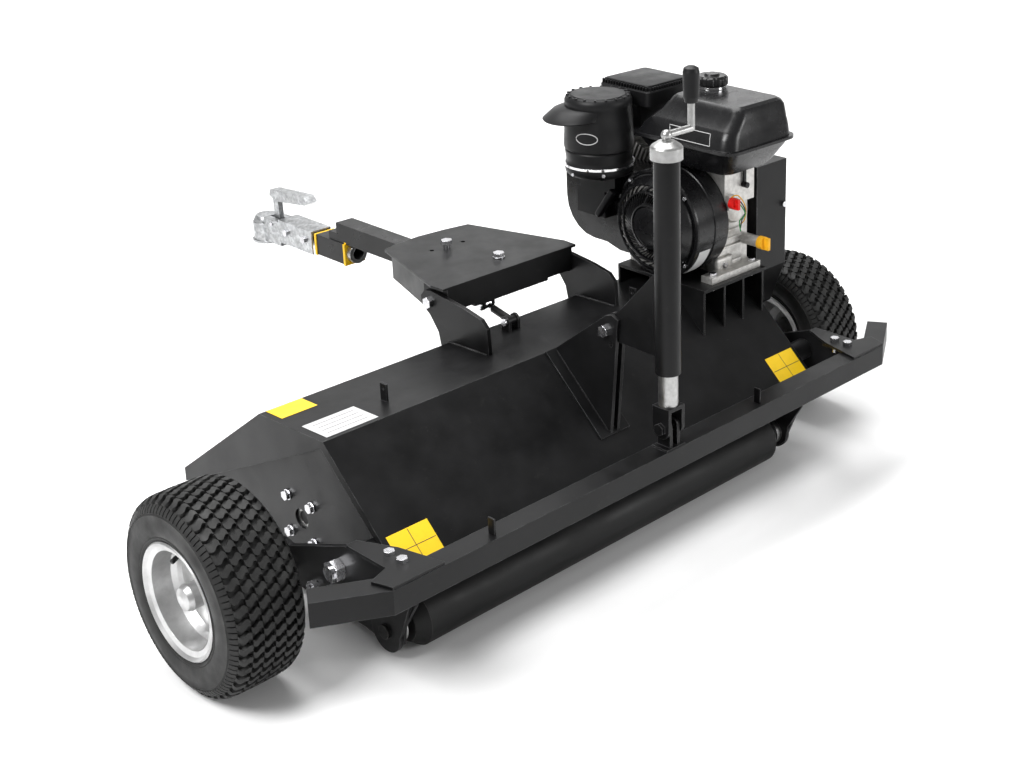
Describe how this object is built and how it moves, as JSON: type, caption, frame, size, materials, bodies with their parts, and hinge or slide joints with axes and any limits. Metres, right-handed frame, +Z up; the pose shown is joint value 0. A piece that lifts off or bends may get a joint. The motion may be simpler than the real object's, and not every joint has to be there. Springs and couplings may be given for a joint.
{
  "type": "towed flail mower",
  "caption": "Towed flail mower with a folded steel deck over a flail rotor, petrol engine with belt drive, height jack, roller, turf wheels and an adjustable ball-coupler drawbar.",
  "frame": {"origin": "on the ground, below the middle of the machine's outline", "axes": "+X to the machine's right, +Y forward to the drawbar, +Z up"},
  "size_m": [1.86, 1.563, 1.1049],
  "materials": {
    "black_paint": "satin black powder coat",
    "bare_steel": "zinc-plated and lightly worn",
    "zinc": "bright zinc",
    "rotor_paint": "black paint",
    "wheel_paint": "silver wheel paint",
    "tyre": "moulded rubber",
    "black_plastic": "moulded, fine grain",
    "cast_aluminium": "as cast",
    "crank_steel": "machined",
    "muffler_steel": "heat-proof black",
    "belt_rubber": "rubber",
    "red_plastic": "gloss",
    "yellow_plastic": "gloss"
  },
  "bodies": {
    "deck": {"deck_shell": "black_paint", "side_plates": "black_paint", "flange_bearings": "bare_steel", "deck_bolts": "zinc", "side_brackets": "black_paint", "pivot_bolts": "zinc", "engine_platform": "black_paint", "jack_gusset": "black_paint", "hitch_lugs": "black_paint", "guard_back": "black_paint", "guard_cover": "black_paint", "drive_belts": "belt_rubber", "crankcase": "cast_aluminium", "cylinder_head": "cast_aluminium", "blower_housing": "black_plastic", "recoil_cover": "black_plastic", "fuel_tank": "black_plastic", "air_cleaner": "black_plastic", "intake_elbow": "black_plastic", "muffler": "muffler_steel", "muffler_guard": "muffler_steel"},
    "rotor": {"rotor_tube": "rotor_paint", "flail_bolts": "rotor_paint", "rotor_pulley": "bare_steel"},
    "flails_1": {"flail_row_1": "rotor_paint"},
    "flails_2": {"flail_row_2": "rotor_paint"},
    "flails_3": {"flail_row_3": "rotor_paint"},
    "crank": {"crankshaft": "crank_steel"},
    "roller": {"roller_drum": "rotor_paint"},
    "swing_frame": {"axle_beam": "black_paint", "side_arms": "black_paint", "frame_bolts": "zinc", "stub_axles": "bare_steel"},
    "wheel_left": {"rim_left": "wheel_paint", "tyre_left": "tyre", "hub_cap_left": "wheel_paint"},
    "wheel_right": {"rim_right": "wheel_paint", "tyre_right": "tyre", "hub_cap_right": "wheel_paint"},
    "jack_outer": {"jack_outer_tube": "black_paint", "jack_cap": "zinc"},
    "jack_inner": {"jack_inner_tube": "zinc", "jack_clevis": "black_paint"},
    "jack_crank": {"jack_crank": "bare_steel"},
    "jack_grip": {"jack_grip": "black_plastic"},
    "hitch": {"hitch_box": "black_paint", "hitch_bolts": "zinc", "drawbar": "black_paint"},
    "strut_lower": {"strut_tube": "bare_steel"},
    "strut_upper": {"strut_rod": "bare_steel"},
    "coupler": {"swivel_pipe": "bare_steel", "coupler_body": "zinc", "coupler_bolts": "zinc"},
    "coupler_lever": {"coupler_lever": "zinc"},
    "recoil_grip": {"recoil_grip": "black_plastic"},
    "fuel_cap": {"fuel_cap": "black_plastic"},
    "throttle": {"throttle_lever": "black_plastic"},
    "choke": {"choke_lever": "black_plastic"},
    "stop_switch": {"stop_switch": "red_plastic"},
    "oil_cap": {"oil_filler_cap": "yellow_plastic"}
  },
  "joints": [
    {"name": "swing_frame_tilt", "type": "hinge", "parent": "deck", "child": "swing_frame", "pos_m": [0, -0.5635, 0.252], "axis": [1, 0, 0], "range_deg": [-8, 8]},
    {"name": "jack_tilt", "type": "hinge", "parent": "deck", "child": "jack_outer", "pos_m": [0, -0.5795, 0.522], "axis": [1, 0, 0], "range_deg": [-4.8, 4.8]},
    {"name": "jack_extend", "type": "slide", "parent": "jack_outer", "child": "jack_inner", "axis": [0, 0, 1], "range_m": [-0.0402, 0.0402]},
    {"name": "jack_crank_turn", "type": "hinge", "parent": "jack_outer", "child": "jack_crank", "pos_m": [0, -0.7485, 0.978], "axis": [0, 0, 1], "continuous": true},
    {"name": "jack_grip_spin", "type": "hinge", "parent": "jack_crank", "child": "jack_grip", "pos_m": [0.072, -0.7485, 1.06], "axis": [0, 0, 1], "continuous": true},
    {"name": "wheel_left_spin", "type": "hinge", "parent": "swing_frame", "child": "wheel_left", "pos_m": [-0.848, -0.3685, 0.203], "axis": [1, 0, 0], "continuous": true},
    {"name": "wheel_right_spin", "type": "hinge", "parent": "swing_frame", "child": "wheel_right", "pos_m": [0.848, -0.3685, 0.203], "axis": [1, 0, 0], "continuous": true},
    {"name": "roller_spin", "type": "hinge", "parent": "deck", "child": "roller", "pos_m": [0, -0.5485, 0.06], "axis": [1, 0, 0], "continuous": true},
    {"name": "rotor_spin", "type": "hinge", "parent": "deck", "child": "rotor", "pos_m": [0, -0.2745, 0.201], "axis": [1, 0, 0], "continuous": true},
    {"name": "crank_spin", "type": "hinge", "parent": "deck", "child": "crank", "pos_m": [0.652, -0.3525, 0.607], "axis": [1, 0, 0], "continuous": true},
    {"name": "flails_1_swing", "type": "hinge", "parent": "rotor", "child": "flails_1", "pos_m": [0, -0.2745, 0.126], "axis": [1, 0, 0], "range_deg": [-60, 60]},
    {"name": "flails_2_swing", "type": "hinge", "parent": "rotor", "child": "flails_2", "pos_m": [0, -0.20955, 0.2385], "axis": [1, 0, 0], "range_deg": [-4, 110]},
    {"name": "flails_3_swing", "type": "hinge", "parent": "rotor", "child": "flails_3", "pos_m": [0, -0.33945, 0.2385], "axis": [1, 0, 0], "range_deg": [-110, 4]},
    {"name": "hitch_pitch", "type": "hinge", "parent": "deck", "child": "hitch", "pos_m": [0.07, -0.1365, 0.503], "axis": [1, 0, 0], "range_deg": [-6, 6]},
    {"name": "strut_tilt", "type": "hinge", "parent": "deck", "child": "strut_lower", "pos_m": [0.01, -0.2485, 0.448], "axis": [1, 0, 0], "range_deg": [-2.5, 2.5]},
    {"name": "strut_extend", "type": "slide", "parent": "strut_lower", "child": "strut_upper", "axis": [0, 0.9783, 0.2072], "range_m": [-0.0034, 0.0034]},
    {"name": "coupler_roll", "type": "hinge", "parent": "hitch", "child": "coupler", "pos_m": [0.021, 0.4115, 0.465], "axis": [0, 1, 0], "continuous": true},
    {"name": "coupler_lever_lift", "type": "hinge", "parent": "coupler", "child": "coupler_lever", "pos_m": [0.021, 0.6775, 0.472], "axis": [1, 0, 0], "range_deg": [-34, 0]},
    {"name": "recoil_pull", "type": "slide", "parent": "deck", "child": "recoil_grip", "axis": [-1, 0, 0], "range_m": [0, 0.04], "stiffness_N_per_m": 60, "springref_m": -0.05},
    {"name": "fuel_cap_turn", "type": "hinge", "parent": "deck", "child": "fuel_cap", "pos_m": [0.556, -0.3735, 0.916], "axis": [0, 0, 1], "range_deg": [0, 90]},
    {"name": "throttle_swing", "type": "hinge", "parent": "deck", "child": "throttle", "pos_m": [0.56, -0.4735, 0.735], "axis": [0, 1, 0], "range_deg": [-30, 30]},
    {"name": "choke_swing", "type": "hinge", "parent": "deck", "child": "choke", "pos_m": [0.368, -0.1535, 0.69], "axis": [1, 0, 0], "range_deg": [0, 50]},
    {"name": "switch_turn", "type": "hinge", "parent": "deck", "child": "stop_switch", "pos_m": [0.506, -0.4885, 0.658], "axis": [0, 1, 0], "range_deg": [0, 60]},
    {"name": "oil_cap_turn", "type": "hinge", "parent": "deck", "child": "oil_cap", "pos_m": [0.585, -0.5105, 0.545], "axis": [0, -1, 0], "range_deg": [0, 360]}
  ],
  "couplings": [
    {"joint": "jack_tilt", "follows": "swing_frame_tilt", "ratio": -0.588},
    {"joint": "jack_extend", "follows": "swing_frame_tilt", "m_per_rad": -0.2844},
    {"joint": "crank_spin", "follows": "rotor_spin", "ratio": 1.1923},
    {"joint": "strut_tilt", "follows": "hitch_pitch", "ratio": -0.392},
    {"joint": "strut_extend", "follows": "hitch_pitch", "m_per_rad": 0.0306}
  ]
}
